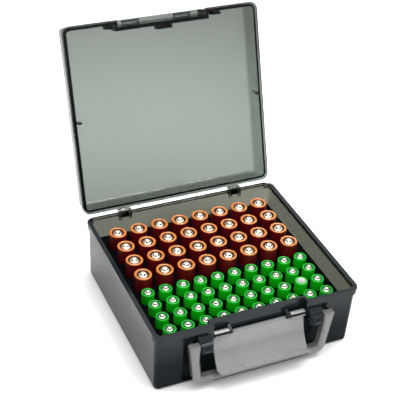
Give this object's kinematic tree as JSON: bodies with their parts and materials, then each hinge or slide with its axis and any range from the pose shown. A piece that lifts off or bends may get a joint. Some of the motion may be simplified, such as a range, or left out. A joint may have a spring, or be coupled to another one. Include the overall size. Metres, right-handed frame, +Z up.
{
  "type": "battery storage case",
  "caption": "Hinged plastic case with a smoke lid, snap latch flap, bail carry handle and a socketed rack holding upright cylindrical cells.",
  "frame": {"origin": "centre of the tub's flat underside", "axes": "+Z up from the table, +X along the front to the right, +Y from the front to the hinged back"},
  "size_m": [0.176, 0.2515, 0.2066],
  "materials": {
    "smoke_shell": "glossy dark smoke",
    "clear_smoke": "translucent smoke",
    "grey_plastic": "satin",
    "black_rack": "matt",
    "pin_steel": "drawn",
    "aa_wrap": "glossy shrink sleeve",
    "aaa_wrap": "glossy shrink sleeve"
  },
  "bodies": {
    "base": {"base_shell": "smoke_shell", "battery_rack": "black_rack", "hinge_pin_left": "pin_steel", "hinge_pin_right": "pin_steel", "aa_cells_row_1": "aa_wrap", "aa_cells_row_2": "aa_wrap", "aa_cells_row_3": "aa_wrap", "aa_cells_row_4": "aa_wrap", "aaa_cells_row_1": "aaa_wrap", "aaa_cells_row_2": "aaa_wrap", "aaa_cells_row_3": "aaa_wrap", "aaa_cells_row_4": "aaa_wrap", "aaa_cell_inverted": "aaa_wrap"},
    "lid": {"lid_shell": "clear_smoke"},
    "latch": {"latch_flap": "grey_plastic"},
    "handle": {"carry_handle": "grey_plastic"}
  },
  "joints": [
    {"name": "lid_hinge", "type": "hinge", "parent": "base", "child": "lid", "pos_m": [0, 0.082, 0.0548], "axis": [1, 0, 0], "range_deg": [0, 110]},
    {"name": "latch_hinge", "type": "hinge", "parent": "base", "child": "latch", "pos_m": [0, -0.078, 0.0445], "axis": [-1, 0, 0], "range_deg": [0, 154.6]},
    {"name": "handle_pivot", "type": "hinge", "parent": "base", "child": "handle", "pos_m": [0, -0.084, 0.04], "axis": [-1, 0, 0], "range_deg": [-8, 120]}
  ]
}
